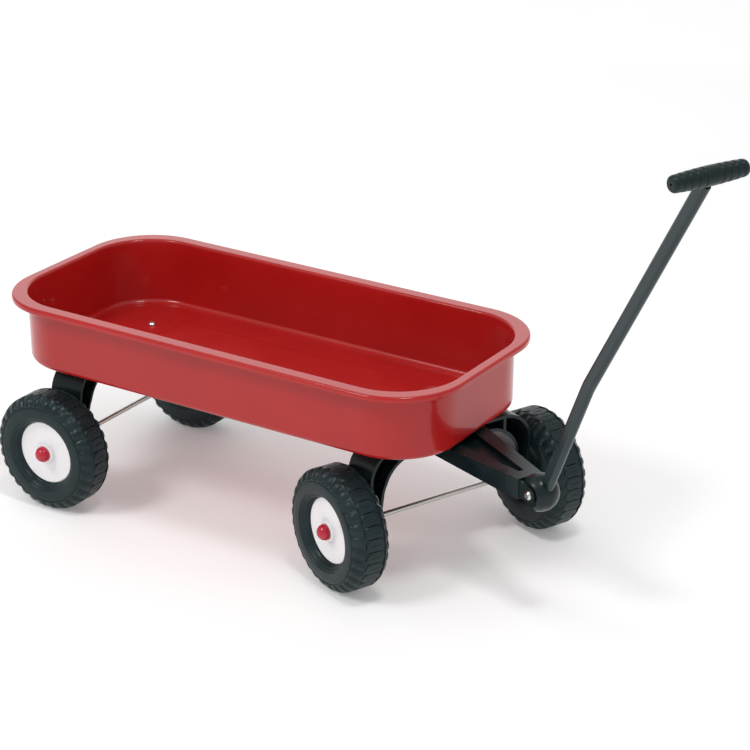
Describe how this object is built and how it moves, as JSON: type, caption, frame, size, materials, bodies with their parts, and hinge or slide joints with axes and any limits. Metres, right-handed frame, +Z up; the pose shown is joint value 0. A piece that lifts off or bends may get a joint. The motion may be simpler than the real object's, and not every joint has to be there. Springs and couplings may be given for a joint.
{
  "type": "wagon with pull handle",
  "caption": "Child's pull wagon: rounded pressed-steel tray on hollow plastic wheels, with a steered front axle and a raised pull handle.",
  "frame": {"origin": "centre of the raised panel of the tray's floor, on its top face", "axes": "+X forward, towards the steered axle; +Y to the wagon's left; +Z up"},
  "size_m": [0.9381, 0.3726, 0.5718],
  "materials": {
    "tray_paint": "gloss red enamel",
    "moulding": "satin blue-black plastic",
    "wheel_black": "satin blue-black plastic",
    "disc_white": "gloss white plastic",
    "cap_red": "gloss red plastic",
    "axle_steel": "bright drawn steel",
    "screw_steel": "zinc-plated steel",
    "plate_steel": "plain zinc-plated sheet steel",
    "tube_paint": "black gloss paint",
    "grip_black": "soft satin black plastic",
    "nylon": "natural nylon"
  },
  "bodies": {
    "chassis": {"tray": "tray_paint", "rear_bracket": "moulding", "rear_bracket_screws": "screw_steel", "rear_axle": "axle_steel", "rear_axle_washers": "axle_steel", "cap_rear_left": "cap_red", "cap_rear_right": "cap_red", "turntable_plate": "plate_steel", "turntable_screws": "screw_steel", "turntable_washer": "nylon", "kingpin_bolt": "screw_steel", "kingpin_washer": "screw_steel", "kingpin_nut": "screw_steel"},
    "steering": {"steering_yoke": "moulding", "front_axle": "axle_steel", "front_axle_washers": "axle_steel", "cap_front_left": "cap_red", "cap_front_right": "cap_red", "pivot_screw": "screw_steel", "pivot_nut": "screw_steel"},
    "handle": {"handle_knuckle": "moulding", "handle_tube": "tube_paint", "grip_core": "axle_steel", "grip": "grip_black"},
    "wheel_rear_left": {"tyre_rear_left": "wheel_black", "hub_disc_rear_left": "disc_white"},
    "wheel_rear_right": {"tyre_rear_right": "wheel_black", "hub_disc_rear_right": "disc_white"},
    "wheel_front_left": {"tyre_front_left": "wheel_black", "hub_disc_front_left": "disc_white"},
    "wheel_front_right": {"tyre_front_right": "wheel_black", "hub_disc_front_right": "disc_white"}
  },
  "joints": [
    {"name": "steer", "type": "hinge", "parent": "chassis", "child": "steering", "pos_m": [0.2365, 0, -0.0062], "axis": [0, 0, 1], "range_deg": [-22, 67]},
    {"name": "handle_swing", "type": "hinge", "parent": "steering", "child": "handle", "pos_m": [0.40059, -0.06898, -0.0182], "axis": [-0.3875, -0.9219, 0], "range_deg": [-76, 35]},
    {"name": "spin_rear_left", "type": "hinge", "parent": "chassis", "child": "wheel_rear_left", "pos_m": [-0.2115, 0.136, -0.0957], "axis": [0, 1, 0], "continuous": true},
    {"name": "spin_rear_right", "type": "hinge", "parent": "chassis", "child": "wheel_rear_right", "pos_m": [-0.2115, -0.136, -0.0957], "axis": [0, 1, 0], "continuous": true},
    {"name": "spin_front_left", "type": "hinge", "parent": "steering", "child": "wheel_front_left", "pos_m": [0.2892, 0.12537, -0.0957], "axis": [0.3875, 0.9219, 0], "continuous": true},
    {"name": "spin_front_right", "type": "hinge", "parent": "steering", "child": "wheel_front_right", "pos_m": [0.1838, -0.12537, -0.0957], "axis": [0.3875, 0.9219, 0], "continuous": true}
  ]
}
